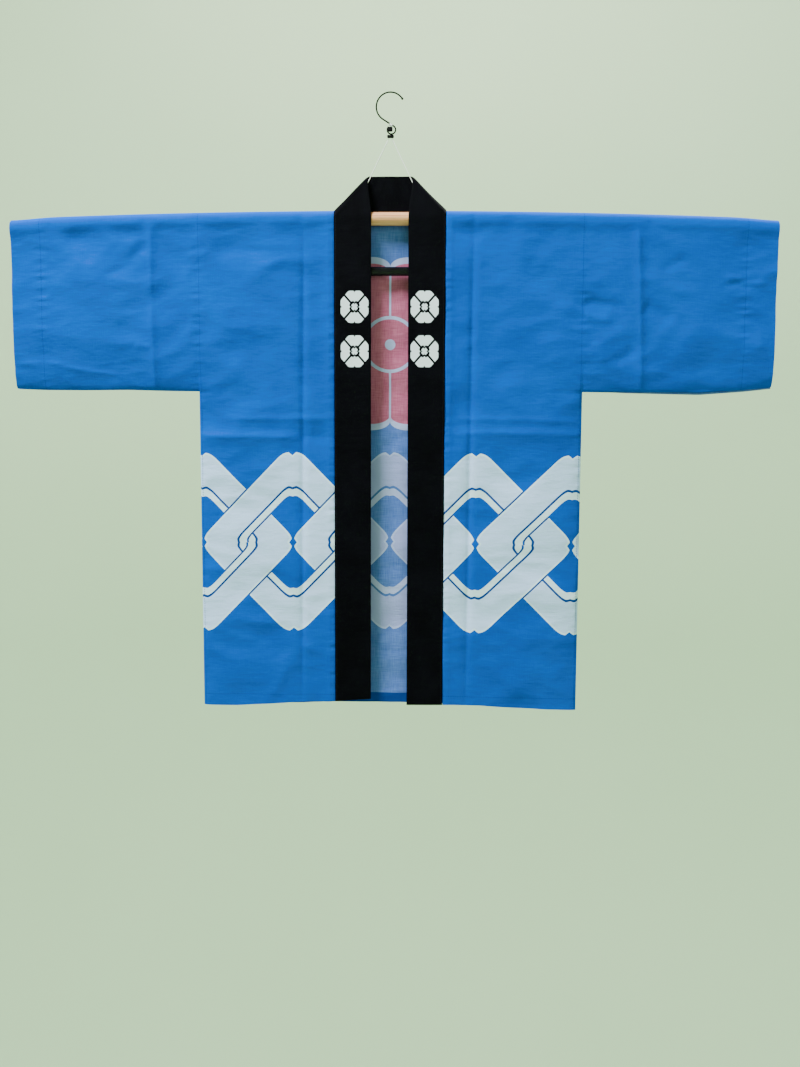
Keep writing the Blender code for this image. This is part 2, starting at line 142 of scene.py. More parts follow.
# Creases of the front and of the back, from one end to the other. A positive rise stands out. The two
# widths lie above and below a crease that runs to +X, and edge is 0 for a soft crease, 1 for a pressed one.
FRONT_CREASES = (
    # x, z, x, z, width above, width below, rise, edge, sag
    (-143, 40, -151, -880, 7, 7, -2.4, 0.75, 0),
    (139.5, 40, 133, -880, 7, 7, -2.4, 0.75, 0),
    (-399, 40, -401, -140, 9, 12, 2.2, 0.85, 0),
    (-401, -116, -396, -330, 9, 12, 2.2, 0.85, 0),
    (405, 40, 421, -330, 9, 12, 2.2, 0.85, 2),
    (-352, -362, -140, -363, 10, 24, 3.2, 0.95, 2),
    (-157, -362, -70, -361, 22, 14, -2.4, 0.7, 0),
    (-300, -332, -60, -331, 5, 9, 1.3, 0.8, 1),
    (80, -356, 352, -358, 11, 22, 2.3, 0.9, 3),
    (80, -331, 345, -336, 6, 10, 1.2, 0.8, 2),
    (-640, -240, -544, -241, 4, 9, 1.1, 0.9, 2),
    (-566, -240, -455, -257, 4, 9, 1.2, 0.9, -3),
    (-640, -186, -400, -208, 40, 26, 1.8, 0.0, 5),
    (-545, -12, -498, -80, 24, 18, -1.5, 0.0, 0),
    (-400, -36, -485, -100, 12, 10, -1.5, 0.2, 3),
    (-560, -66, -446, -176, 40, 34, 1.7, 0.0, 0),
    (-392, -110, -336, -192, 26, 26, -1.2, 0.0, 0),
    (-430, -207, -400, -212, 4, 8, 1.0, 0.5, 0),
    (-345, -63, -300, -58, 5, 6, 0.9, 0.4, 1),
    (-620, -14, -545, -4, 7, 9, -1.3, 0.0, 0),
    (-392, -10, -350, -12, 8, 9, -1.4, 0.0, 0),
    (-252, -118, -172, -62, 9, 16, 0.8, 0.3, 3),
    (-244, -128, -168, -76, 12, 18, -0.4, 0.0, 3),
    (-305, -57, -200, -53, 14, 12, -1.4, 0.0, 4),
    (-300, -150, -180, -190, 24, 30, 1.2, 0.0, 6),
    (-310, -255, -165, -215, 22, 26, 1.3, 0.0, -8),
    (-300, -285, -210, -300, 16, 14, -1.2, 0.0, 2),
    (-130, -120, -98, -180, 14, 12, -1.0, 0.0, 2),
    (222, -62, 300, -146, 18, 18, -2.0, 0.0, -4),
    (196, -40, 262, -86, 16, 20, 1.2, 0.0, 0),
    (150, -76, 190, -98, 6, 7, -1.0, 0.3, 1),
    (170, -180, 300, -228, 26, 26, 1.4, 0.0, 8),
    (150, -268, 290, -240, 20, 24, -1.3, 0.0, 4),
    (490, -64, 448, -88, 9, 9, -1.3, 0.1, 0),
    (318, -136, 392, -149, 9, 9, -1.5, 0.1, 3),
    (322, -156, 372, -172, 7, 8, 1.2, 0.2, 0),
    (418, -140, 470, -172, 12, 16, -1.7, 0.0, 0),
    (548, -112, 618, -101, 5, 6, -1.3, 0.3, 1),
    (546, -97, 624, -109, 5, 6, 1.2, 0.3, 0),
    (410, -215, 372, -238, 9, 10, -1.4, 0.0, 2),
    (340, -200, 362, -238, 9, 9, 1.2, 0.0, 0),
    (480, -190, 640, -226, 30, 34, 1.6, 0.0, 6),
    (440, -262, 560, -244, 18, 16, -1.2, 0.0, 3),
    (-171, -748, -212, -824, 6, 9, 1.6, 0.5, 2),
    (-230, -700, -175, -742, 20, 16, -1.2, 0.0, 0),
    (150, -735, 238, -812, 12, 14, 1.0, 0.1, 4),
    (180, -716, 300, -760, 16, 18, -0.8, 0.0, 4),
    (-310, -470, -180, -430, 26, 28, 1.2, 0.0, 6),
    (-300, -640, -165, -600, 24, 30, -1.2, 0.0, 6),
    (160, -420, 300, -470, 26, 26, -1.2, 0.0, 5),
    (160, -610, 300, -650, 26, 26, 1.2, 0.0, 5),
)
BACK_CREASES = (
    # x, z, x, z, width above, width below, rise, edge, sag
    (-147, 40, -152, -880, 7, 7, -2.2, 0.7, 0),
    (141, 40, 138, -880, 7, 7, -2.2, 0.7, 0),
    (-2, 60, 2, -880, 9, 8, 1.6, 0.7, 2),
    (-399, 40, -397, -330, 9, 12, 2.0, 0.8, 0),
    (407, 40, 418, -330, 9, 12, 2.0, 0.8, 0),
    (-345, -364, -147, -362, 12, 26, 2.3, 0.7, -2),
    (-152, -362, 2, -364, 20, 14, -1.8, 0.6, 1),
    (-2, -363, 345, -359, 13, 24, 2.0, 0.6, 2),
    (-330, -333, 340, -336, 6, 9, 0.8, 0.7, 2),
    (-630, -230, -500, -248, 5, 9, 1.2, 0.7, 3),
    (-560, -60, -440, -150, 30, 34, 1.7, 0.0, 4),
    (-380, -80, -330, -190, 22, 24, -1.8, 0.0, 0),
    (-290, -70, -180, -120, 16, 14, -1.4, 0.1, 4),
    (-110, -60, -20, -130, 18, 20, 1.3, 0.0, 6),
    (20, -190, 120, -150, 20, 22, -1.3, 0.0, 5),
    (170, -90, 280, -150, 18, 22, -1.6, 0.0, -4),
    (-120, -270, 110, -300, 26, 30, 1.3, 0.0, 8),
    (360, -130, 440, -170, 12, 14, -1.5, 0.0, 3),
    (470, -80, 600, -140, 26, 28, 1.5, 0.0, 5),
    (540, -225, 630, -240, 6, 10, 1.1, 0.6, 2),
    (-300, -480, -170, -450, 26, 28, 1.2, 0.0, 6),
    (-110, -560, 90, -600, 30, 30, 1.3, 0.0, 8),
    (170, -520, 300, -480, 26, 28, -1.2, 0.0, 5),
    (-290, -690, -160, -720, 20, 24, -1.3, 0.0, 4),
    (-90, -760, -20, -690, 16, 18, 1.2, 0.0, 4),
    (180, -740, 260, -800, 10, 14, 1.4, 0.2, 3),
)
# Where the cloth lies close to the rod along the shoulders, and where it swells out below it
SHOULDER_DIPS = (
    # x, change of swell, half width
    (-565, -1.3, 13),
    (-478, -0.8, 12),
    (-440, 0.8, 22),
    (-409, -1.3, 8),
    (-365, -0.5, 16),
    (-262, 0.5, 22),
    (-211, -1.7, 13),
    (-147, -1.6, 8),
    (140, -1.6, 7),
    (206, -1.9, 13),
    (262, 1.0, 26),
    (327, -1.0, 14),
    (430, -1.4, 13),
    (545, 0.6, 24),
)
SHOULDER_SWELL = 2.3
SWELL_DROP = 4.0
SWELL_WIDTH = 9.0
CREASE_STRENGTH = 1.5
CREASE_FADE = 0.22
BELOW_ROD = 30.0
# Crumple of the whole cloth: nearly flat patches of two sizes
CRUMPLES = (
    # height, seed, squeeze along X, longest wave, shortest wave
    (1.1, 21, 0.8, 230.0, 90.0),
    (0.58, 31, 0.7, 90.0, 36.0),
)
PUCKER_LENGTHS = (9.5, 12.5, 17.0, 24.0)
PUCKER_HEIGHT = 0.62
PUCKER_CHANGE = 41.0
# The puckers beside an armhole and a cuff grow to full height by these distances below the rod
ARMHOLE_GROWTH = 25.0
SEAM_GROWTH = 20.0
# How high the puckers stand beside each kind of seam, with the reach of each part
ARMHOLE_PUCKERS = ((1.0, 8.0), (0.25, 24.0))
CUFF_PUCKERS = ((1.1, 8.0), (0.5, 18.0))
COLLAR_PUCKERS = ((1.2, 7.0),)
# Fine troughs and ridges along the seams: change of height and reach
ARMHOLE_TROUGH = (-0.12, 3.0)
CUFF_TROUGH = (-0.35, 2.4)
COLLAR_TROUGH = (-1.1, 1.8)
COLLAR_RIDGE = (0.5, 1.6)
COLLAR_RIDGE_OUT = 9.0
COLLAR_PUCKER_OUT = 4.0
# Near the collar, whose band holds the cloth flat, the creases are a quarter as high
HELD_SHARE = 0.25
HELD_WIDTH = 26.0
# The print's links are a little nearer to each other on the fronts, where the pressed folds take up cloth
PRINT_PLACES = (
    # place on the coat, place in the print
    (-324.0, -323.0),
    (-321.0, -320.0),
    (-164.5, -160.0),
    (-93.0, -86.5),
    (93.0, 105.0),
    (146.9, 160.0),
    (309.9, 320.0),
    (324.0, 333.5),
)


def place(points):
    """Points about the rod, in millimetres, as points about the hook's crown, in metres"""
    return (np.asarray(points, dtype=float) - (0.0, 0.0, ROD_DROP)) * MILLIMETRE


def ease(value):
    """0 below 0, 1 above 1 and a smooth step between them"""
    value = np.clip(value, 0.0, 1.0)
    return value * value * (3.0 - 2.0 * value)


def round_in(value):
    """Quarter of an ellipse: 0 at a seam, 1 where the cloth hangs free"""
    value = np.clip(value, 0.0, 1.0)
    return np.sqrt(1.0 - (1.0 - value) ** 2)


def mix(start, end, share):
    """Between two places, by a share from 0 to 1"""
    return start + (end - start) * share


def hill(distance, width):
    """A round hill: 1 at no distance, falling to nothing past about twice the width"""
    return np.exp(-(distance / width) ** 2)


def read_table(table, at, column):
    """One column of a table of sections, read between its rows"""
    rows = np.array(table)
    return np.interp(at, rows[:, 0], rows[:, column])


def graded(*stops):
    """Lines from the first stop to the last: each stop but the last gives the spacing up to the next"""
    lines = []
    for (start, spacing), (end, _) in zip(stops, stops[1:]):
        lines.append(np.linspace(start, end, max(2, round(abs(end - start) / spacing) + 1))[:-1])
    return np.concatenate([*lines, [stops[-1][0]]])


def rod_height(x):
    """Height of the rod's slightly bowed axis"""
    return -ROD_BOW * (x / ROD_HALF_LENGTH) ** 2 - ROD_TILT * x


def cloth_axis(x):
    """Height of the line that the cloth bends round: the rod, and past its ends a slight droop"""
    past = (np.abs(x) - ROD_HALF_LENGTH) / (SLEEVE_END - ROD_HALF_LENGTH)
    return rod_height(x) - SLEEVE_DROOP * ease(past)


def waves(x, z, seed, longest, shortest, count=26):
    """A sum of plane waves in seeded directions and lengths, of about unit height: a soft crumple"""
    dice = np.random.default_rng(seed)
    total = np.zeros(np.broadcast(x, z).shape)
    for _ in range(count):
        heading = dice.uniform(0.0, math.tau)
        length = shortest * (longest / shortest) ** dice.uniform(0.0, 1.0)
        turn = (x * math.cos(heading) + z * math.sin(heading)) * math.tau / length
        total += np.sin(turn + dice.uniform(0.0, math.tau)) * length / longest
    return total * math.sqrt(6.0 / count)


def crumple(x, z, seed, longest, shortest):
    """Nearly flat patches that meet in wandering soft ridges, where a sum of waves changes sign"""
    return 0.6 - np.sqrt(waves(x, z, seed, longest, shortest) ** 2 + 0.02)


def crease_relief(x, z, creases):
    """How far the creases lift the cloth.

    Each runs along a shallow arc. Across it the lift falls as a hill if it is soft, and as a tent with
    a sharp ridge if it is pressed, with its own width on either side. Along it the lift fades at the ends.
    """
    lift = np.zeros(np.broadcast(x, z).shape)
    for x0, z0, x1, z1, width_above, width_below, rise, edge, sag in creases:
        length = math.hypot(x1 - x0, z1 - z0)
        along_x, along_z = (x1 - x0) / length, (z1 - z0) / length
        share = ((x - x0) * along_x + (z - z0) * along_z) / length
        above = (z - z0) * along_x - (x - x0) * along_z - 4.0 * sag * share * (1.0 - share)
        width = np.where(above > 0, width_above, width_below)
        fade = ease(share / CREASE_FADE) * ease((1.0 - share) / CREASE_FADE)
        tent = np.exp(-1.3 * np.abs(above) / width) * (1.0 - ease(np.abs(above) / (3.0 * width)))
        lift += rise * fade * mix(hill(above, width), tent, edge)
    return lift


def puckers(along, seed):
    """Uneven ripples along a line of sewing, 10 to 24 mm apart, in millimetres"""
    dice = np.random.default_rng(seed)
    ripple = np.zeros_like(along)
    for length in PUCKER_LENGTHS:
        ripple += np.sin(along * math.tau / length + dice.uniform(0.0, math.tau))
    strength = 0.65 + 0.35 * np.sin(along / PUCKER_CHANGE + dice.uniform(0.0, math.tau))
    return np.tanh(ripple * 0.6) * strength * PUCKER_HEIGHT


def hills(distance, parts):
    """The sum of several round hills of one distance: each part is a height and a reach"""
    return sum(height * hill(distance, reach) for height, reach in parts)


def relief(x, z, axis, back):
    """Distance of the cloth's outer face from its plain hanging form: creases, crumple and seam puckers"""
    out = np.abs(x)
    below = axis - z
    amount = CREASE_STRENGTH * crease_relief(x, z, BACK_CREASES if back else FRONT_CREASES)
    amount += 0.7 * waves(x, z, 11 + back, 260.0, 110.0)
    for height, seed, squeeze, longest, shortest in CRUMPLES:
        amount += height * crumple(x * squeeze, z, seed + back, longest, shortest)
    amount *= ease(below / BELOW_ROD)
    swell = SHOULDER_SWELL + sum(change * hill(x - at, width) for at, change, width in SHOULDER_DIPS)
    amount += swell * hill(below - SWELL_DROP, SWELL_WIDTH)
    side = np.sign(x)
    armhole = np.abs(out - SIDE_SEAM)
    amount += puckers(z, 41 + back) * hills(armhole, ARMHOLE_PUCKERS) * ease(below / ARMHOLE_GROWTH)
    amount += hills(armhole, (ARMHOLE_TROUGH,)) * ease(below / 6.0)
    cuff = out - (SLEEVE_END - CUFF_HEM)
    amount += puckers(z + 7.0 * side, 51 + back) * hills(cuff, CUFF_PUCKERS) * ease(below / SEAM_GROWTH)
    amount += hills(cuff, (CUFF_TROUGH,))
    if not back:
        seam = out - COLLAR_SEAM
        amount *= mix(HELD_SHARE, 1.0, ease(seam / HELD_WIDTH))
        held = hills(seam - COLLAR_PUCKER_OUT, COLLAR_PUCKERS) * ease(below / SEAM_GROWTH)
        amount += puckers(z + 90.0 * side, 61) * held
        amount += hills(seam - COLLAR_RIDGE_OUT, (COLLAR_RIDGE,)) + hills(seam, (COLLAR_TROUGH,))
    return amount


def hanging_depth(out, height, axis, underarm):
    """Distance of the wall's middle from the plane of the rod, where the cloth hangs plain.

    It is the rod's bend at the top and falls to HEM_DEPTH at the hem. Towards the underarm seam of a
    sleeve, and towards the side seam under it, front and back close on each other in an ellipse.
    """
    below = axis - height
    free = BEND_RADIUS + (HEM_DEPTH - BEND_RADIUS) * ease(below / COAT_LENGTH)
    sleeve = SEAM_DEPTH + (free - SEAM_DEPTH) * round_in((height - underarm) / UNDERARM_ROUNDING)
    to_side = round_in((SIDE_SEAM - out) / SIDE_ROUNDING)
    return np.where(out > SIDE_SEAM, sleeve, sleeve + (free - sleeve) * to_side)


def layer(x, height, axis, underarm, back):
    """Depth of the outer face of a front or a back, positive towards the back of the coat"""
    close = hanging_depth(np.abs(x), height, axis, underarm)
    room = ease((close - SEAM_DEPTH) / 4.0)
    depth = close + WALL / 2 + relief(x, height, axis, back) * room
    depth = np.maximum(depth, CLOTH + 0.08)
    return depth if back else -depth


def wrap(x_lines, front_heights, back_heights, underarm, bend_steps):
    """A width of cloth over the rod: rows run up the front, round the rod and down the back.

    The heights are arrays of rows by columns. It gives the points and, for each, its place on the flat
    cloth: across, and along from the shoulder line, negative down the front.
    """
    x = x_lines[None, :]
    axis = cloth_axis(x)
    turn = np.radians(np.linspace(0.0, 180.0, bend_steps + 1))[1:-1, None]
    top = BEND_RADIUS + WALL / 2
    depth = np.concatenate([layer(x, front_heights, axis, underarm, False), -top * np.cos(turn) + 0.0 * x,
                            layer(x, back_heights, axis, underarm, True)])
    height = np.concatenate([front_heights, axis + top * np.sin(turn), back_heights])
    along = np.concatenate([front_heights - axis - HALF_BEND,
                            (turn / math.pi * 2.0 - 1.0) * HALF_BEND + 0.0 * x,
                            axis - back_heights + HALF_BEND])
    points = np.stack([np.broadcast_to(x, depth.shape), depth, height], axis=-1)
    return points, np.stack([np.broadcast_to(x, depth.shape), along], axis=-1)


def swell_top(points, rows_front, bend_steps):
    """Ease the bend's first rows out to the swelling below the rod, so that the shoulder stays smooth"""
    start, end = rows_front - 1, rows_front + bend_steps - 1
    share = 2.0 * np.linspace(0.0, 1.0, bend_steps + 1)[1:-1, None]
    front_gain = points[start, :, 1] + BEND_RADIUS + WALL / 2
    back_gain = points[end, :, 1] - BEND_RADIUS - WALL / 2
    points[start + 1:end, :, 1] += front_gain * (1.0 - ease(share)) + back_gain * ease(share - 1.0)
    return points


def grid_faces(rows, columns, kept=None):
    """Quads of a grid of points, wound so that rows going up and columns going to +X face -Y"""
    number = np.arange(rows * columns).reshape(rows, columns)
    quads = np.stack([number[:-1, :-1], number[:-1, 1:], number[1:, 1:], number[1:, :-1]], axis=-1)
    return quads.reshape(-1, 4) if kept is None else quads[kept]


def surface_piece(name, points, quads, flat=None, crisp=False):
    """A mesh object from a grid of points in millimetres, with the flat cloth's metres as its UV map.

    A crisp piece keeps its border sharp, so that two pieces meet at a seam without a false shadow.
    """
    points = np.asarray(points, dtype=float).reshape(-1, 3)
    used = np.unique(quads)
    renumber = np.full(len(points), -1)
    renumber[used] = np.arange(len(used))
    quads = renumber[quads]
    mesh = bpy.data.meshes.new(name)
    mesh.vertices.add(len(used))
    mesh.vertices.foreach_set("co", place(points[used]).astype(np.float32).ravel())
    mesh.loops.add(quads.size)
    mesh.loops.foreach_set("vertex_index", quads.astype(np.int32).ravel())
    mesh.polygons.add(len(quads))
    mesh.polygons.foreach_set("loop_start", np.arange(0, quads.size, 4, dtype=np.int32))
    mesh.update(calc_edges=True)
    if flat is not None:
        flat = np.asarray(flat, dtype=float).reshape(-1, 2)[used] * MILLIMETRE
        layer_of_cloth = mesh.uv_layers.new(name="cloth")
        layer_of_cloth.data.foreach_set("uv", flat[quads.ravel()].astype(np.float32).ravel())
    mesh.validate()
    mesh.shade_smooth()
    if crisp:
        edges = np.empty(len(mesh.loops), dtype=np.int32)
        mesh.loops.foreach_get("edge_index", edges)
        at_border = np.bincount(edges, minlength=len(mesh.edges)) == 1
        sharp = mesh.attributes.new("sharp_edge", "BOOLEAN", "EDGE")
        sharp.data.foreach_set("value", at_border)
    piece = bpy.data.objects.new(name, mesh)
    bpy.context.scene.collection.objects.link(piece)
    return piece


def thicken(piece, thickness, inside_material, doubled=None):
    """Give a surface its cloth wall, inwards from the outer face, twice as thick where a hem is turned in"""
    wall = piece.modifiers.new("cloth wall", "SOLIDIFY")
    wall.offset = -1.0
    wall.use_even_offset = False
    wall.thickness = thickness * MILLIMETRE
    wall.use_rim = True
    if doubled is not None:
        group = piece.vertex_groups.new(name="turned in")
        single = np.flatnonzero(~doubled).tolist()
        group.add(single, 0.5, "REPLACE")
        group.add(np.flatnonzero(doubled).tolist(), 1.0, "REPLACE")
        wall.thickness = 2.0 * thickness * MILLIMETRE
        wall.vertex_group = "turned in"
    if inside_material is not None:
        piece.data.materials.append(inside_material)
        wall.material_offset = 1
    return piece


# Materials


def colour(code):
    """An sRGB hex code as a linear colour"""
    parts = [int(code[at:at + 2], 16) / 255.0 for at in (0, 2, 4)]
    return (*(part / 12.92 if part <= 0.04045 else ((part + 0.055) / 1.055) ** 2.4 for part in parts), 1.0)


def add_node(tree, kind, inputs=(), **settings):
    """Add a node, set its properties and fill its inputs: a socket is linked and a value is set"""
    node = tree.nodes.new(kind)
    for name, value in settings.items():
        setattr(node, name, value)
    pairs = inputs.items() if isinstance(inputs, dict) else enumerate(inputs)
    for socket, value in pairs:
        if isinstance(value, bpy.types.Node):
            tree.links.new(value.outputs[0], node.inputs[socket])
        elif isinstance(value, bpy.types.NodeSocket):
            tree.links.new(value, node.inputs[socket])
        else:
            node.inputs[socket].default_value = value
    return node


BLEND = "ShaderNodeMix"
# Sockets of a Mix node that mixes colours
MIX_SHARE, MIX_A, MIX_B, MIX_OUT = 0, 6, 7, 2


def calc(tree, operation, *values, **settings):
    """A sum, product or other measure of sockets and numbers"""
    return add_node(tree, "ShaderNodeMath", values, operation=operation, **settings)


def blend(tree, share, start, end):
    """A colour from start at no share to end at a share of 1"""
    mixed = add_node(tree, BLEND, {MIX_SHARE: share, MIX_A: start, MIX_B: end}, data_type="RGBA")
    return mixed.outputs[MIX_OUT]


def new_material(name):
    """An empty node material and its tree"""
    material = bpy.data.materials.new(name)
    material.use_nodes = True
    tree = material.node_tree
    tree.nodes.clear()
    return material, tree


def coat_places(tree):
    """Places on the finished coat as sockets: the vector in metres, then millimetres out and up"""
    where = add_node(tree, "ShaderNodeTexCoord").outputs["Object"]
    metres = add_node(tree, "ShaderNodeSeparateXYZ", (where,))
    out = calc(tree, "MULTIPLY", calc(tree, "ABSOLUTE", metres.outputs[0]), 1000.0)
    return where, out, calc(tree, "MULTIPLY_ADD", metres.outputs[2], 1000.0, ROD_DROP)


def noise(tree, vector, scale, detail, flat=False, **inputs):
    """Noise of about 0.5, in the cloth's plane if it is flat"""
    fill = {"Vector": vector, "Scale": scale, "Detail": detail, **inputs}
    return add_node(tree, "ShaderNodeTexNoise", fill, noise_dimensions="2D" if flat else "3D")


def stretch(tree, value, low, high, to_low=0.0, to_high=1.0):
    """The range from low to high drawn out to a new one"""
    return add_node(tree, "ShaderNodeMapRange", {"Value": value, "From Min": low, "From Max": high,
                                                 "To Min": to_low, "To Max": to_high})


def shade(tree, inputs):
    """The material's one shader and its output"""
    shader = add_node(tree, "ShaderNodeBsdfPrincipled", inputs)
    add_node(tree, "ShaderNodeOutputMaterial", {"Surface": shader})


def colour_steps(tree, value, scale, stops):
    """A ramp of constant steps of a value up to scale, each from its place up to the next"""
    ramp = add_node(tree, "ShaderNodeValToRGB", (calc(tree, "MULTIPLY", value, 1.0 / scale),))
    ramp.color_ramp.interpolation = "CONSTANT"
    while len(ramp.color_ramp.elements) < len(stops):
        ramp.color_ramp.elements.new(0.5)
    for element, (position, tint) in zip(ramp.color_ramp.elements, stops):
        element.position = position / scale
        element.color = tint
    return ramp


# Chain print: square links turned on their corners, each corner blunt and notched
LINK_SPACING = 160.0
LINK_CENTRE_DOWN = 541.0
LINK_HOLE = 89.8
LINK_LINE = (102.8, 107.2)
LINK_EDGE = 169.0
LINK_OUTLINE = 4.3
LINK_HALO = 4.0
LINK_SCALE = 200.0
LINK_TALL = 1.10
LINK_WIDE = 1.065
LINK_ROUNDING = 18.0
NOTCH_WIDTH = 7.0
NOTCH_DEPTH = 0.042


def link_distance(tree, across, down):
    """How far a point is from a link's centre, in its own square measure.

    It is the largest of across + down, LINK_TALL down and LINK_WIDE across, with soft joints between
    them. The last two grow a little near the link's axes, which cuts the notches.
    """
    both = calc(tree, "ADD", across, down)
    near_x = calc(tree, "MULTIPLY_ADD", across, -1.0 / NOTCH_WIDTH, 1.0, use_clamp=True)
    near_z = calc(tree, "MULTIPLY_ADD", down, -1.0 / NOTCH_WIDTH, 1.0, use_clamp=True)
    tall = calc(tree, "MULTIPLY_ADD", near_x, NOTCH_DEPTH, LINK_TALL)
    wide = calc(tree, "MULTIPLY_ADD", near_z, NOTCH_DEPTH, LINK_WIDE)
    top = calc(tree, "MULTIPLY", down, tall)
    side = calc(tree, "MULTIPLY", across, wide)
    blunt = calc(tree, "SMOOTH_MAX", both, top, LINK_ROUNDING)
    return calc(tree, "SMOOTH_MAX", blunt, side, LINK_ROUNDING)


def chain_print(tree, across, down, ground, tints):
    """The chain of links over a ground colour. tints are the print, its stripe and its line.

    Two links reach every point. Above the centre line the right one lies over the left, and below it
    the left one lies over the right, so that every arm that leans to the right is on top.
    """
    white, stripe, line = tints
    clear = (0.0, 0.0, 0.0, 0.0)
    left_across = calc(tree, "FLOORED_MODULO", across, LINK_SPACING)
    right_across = calc(tree, "SUBTRACT", LINK_SPACING, left_across)
    rise = calc(tree, "SUBTRACT", LINK_CENTRE_DOWN, down)
    far = calc(tree, "ABSOLUTE", rise)
    upper = calc(tree, "GREATER_THAN", rise, 0.0)
    left = link_distance(tree, left_across, far)
    right = link_distance(tree, right_across, far)
    over = add_node(tree, BLEND, {"Factor": upper, "A": left, "B": right})
    under = add_node(tree, BLEND, {"Factor": upper, "A": right, "B": left})
    result = ground
    band = ((0.0, clear), (LINK_HOLE, stripe), (LINK_LINE[0], line), (LINK_LINE[1], white),
            (LINK_EDGE - LINK_HALO, stripe), (LINK_EDGE, clear))
    outline = ((0.0, clear), (LINK_HOLE - LINK_OUTLINE, line), (LINK_HOLE, clear), (LINK_EDGE, line),
               (LINK_EDGE + LINK_OUTLINE, clear))
    lower_ink = colour_steps(tree, under, LINK_SCALE, band)
    upper_line = colour_steps(tree, over, LINK_SCALE, outline)
    upper_ink = colour_steps(tree, over, LINK_SCALE, band)
    crossing = calc(tree, "MULTIPLY", lower_ink.outputs["Alpha"], upper_line.outputs["Alpha"])
    for share, tint in ((lower_ink.outputs["Alpha"], lower_ink), (crossing, upper_line),
                        (upper_ink.outputs["Alpha"], upper_ink)):
        result = blend(tree, share, result, tint)
    return result


# A rosette of eight petals on the back
ROSETTE_DOWN = 205.0
ROSETTE_RADIUS = 140.0
ROSETTE_OUTLINE = 11.0
ROSETTE_RING = (42.0, 47.5)
ROSETTE_HEART = 9.0
PETALS = 8
PETAL_LINE = 1.7
PETAL_SHARE = 0.16
PETAL_ROUNDNESS = 0.45


def rosette(tree, across, along, ground, tints):
    """A rosette over a ground colour, with a red field, a white scalloped outline, a ring and a heart.

    The scallop is the size of the cosine of four times the angle, so it has eight petals. Where it
    falls to nothing, a thin line parts two petals.
    """
    red, white = tints
    down = calc(tree, "SUBTRACT", along, HALF_BEND + ROSETTE_DOWN)
    spot = add_node(tree, "ShaderNodeCombineXYZ", (across, down))
    radius = add_node(tree, "ShaderNodeVectorMath", (spot,), operation="LENGTH").outputs["Value"]
    angle = calc(tree, "ARCTAN2", down, across)
    turned = calc(tree, "MULTIPLY_ADD", angle, PETALS / 2, math.pi / 2)
    lobes = calc(tree, "ABSOLUTE", calc(tree, "COSINE", turned))
    petal = calc(tree, "POWER", lobes, PETAL_ROUNDNESS)
    reach = calc(tree, "MULTIPLY_ADD", petal, PETAL_SHARE * ROSETTE_RADIUS,
                 (1.0 - PETAL_SHARE) * ROSETTE_RADIUS)
    inside = calc(tree, "SUBTRACT", reach, radius)
    outlined = calc(tree, "GREATER_THAN", inside, -ROSETTE_OUTLINE)
    field = calc(tree, "GREATER_THAN", inside, 0.0)
    from_line = calc(tree, "MULTIPLY", calc(tree, "MULTIPLY", lobes, radius), 2.0 / PETALS)
    parted = calc(tree, "GREATER_THAN", from_line, PETAL_LINE)
    beyond = calc(tree, "GREATER_THAN", radius, ROSETTE_RING[1])
    petals = calc(tree, "MULTIPLY", parted, beyond)
    within = calc(tree, "LESS_THAN", radius, ROSETTE_RING[0])
    heart = calc(tree, "GREATER_THAN", radius, ROSETTE_HEART)
    middle = calc(tree, "MULTIPLY", within, heart)
    filled = calc(tree, "MAXIMUM", petals, middle)
    filled = calc(tree, "MULTIPLY", filled, field)
    result = blend(tree, outlined, ground, white)
    return blend(tree, filled, result, red)


def flat_places(tree):
    """The cloth's UV map as sockets in millimetres: the vector, across, along and down from the shoulder"""
    flat = add_node(tree, "ShaderNodeUVMap", uv_map="cloth")
    metres = add_node(tree, "ShaderNodeVectorMath", {0: flat, "Scale": 1000.0}, operation="SCALE")
    parts = add_node(tree, "ShaderNodeSeparateXYZ", (metres,))
    along = parts.outputs[1]
    far = calc(tree, "ABSOLUTE", along)
    down = calc(tree, "SUBTRACT", far, HALF_BEND)
    return metres, parts.outputs[0], along, down


def slubs(tree, flat, warp_size, weft_size, seed):
    """Uneven yarns: noise drawn out along the warp and along the weft, about 0.5 each"""
    yarns = []
    for (thick, long), turned in ((warp_size, False), (weft_size, True)):
        scale = (1.0 / long, 1.0 / thick, 1.0) if turned else (1.0 / thick, 1.0 / long, 1.0)
        drawn = add_node(tree, "ShaderNodeMapping",
                         {0: flat, "Location": (seed, seed * 1.7, 0.0), "Scale": scale})
        yarns.append(noise(tree, drawn, 1.0, 2.0, flat=True, Roughness=0.55))
    return yarns


# Fine crumple: its spread per millimetre, drawn out along the weft, and its bump's strength
CRUMPLE_SCALE = (0.045, 0.12, 1.0)
CRUMPLE_BUMP = 0.36


def cloth_bump(tree, flat, yarns, strength, sewn=0.0):
    """Bump of the yarns and stitches over a fine crumple of the whole cloth"""
    drawn = add_node(tree, "ShaderNodeMapping", {0: flat, "Scale": CRUMPLE_SCALE})
    fine = noise(tree, drawn, 1.0, 3.0, flat=True, Roughness=0.45)
    threads = calc(tree, "ADD", yarns[0], yarns[1])
    threads = calc(tree, "MULTIPLY_ADD", sewn, 1.5, threads)
    lower = add_node(tree, "ShaderNodeBump", {"Height": fine, "Strength": CRUMPLE_BUMP, "Distance": 0.0016})
    return add_node(tree, "ShaderNodeBump", {"Height": threads, "Normal": lower, "Strength": strength,
                                             "Distance": 0.0005})


def finish_cloth(tree, tint, bump, sheen, sheen_tint):
    """The shader of a matt cotton: diffuse, with a soft sheen from its dyed loose fibres"""
    shade(tree, {"Base Color": tint, "Roughness": 0.85, "Specular IOR Level": 0.1,
                 "Specular Tint": sheen_tint, "Sheen Weight": sheen, "Sheen Roughness": 0.5,
                 "Sheen Tint": sheen_tint, "Normal": bump})


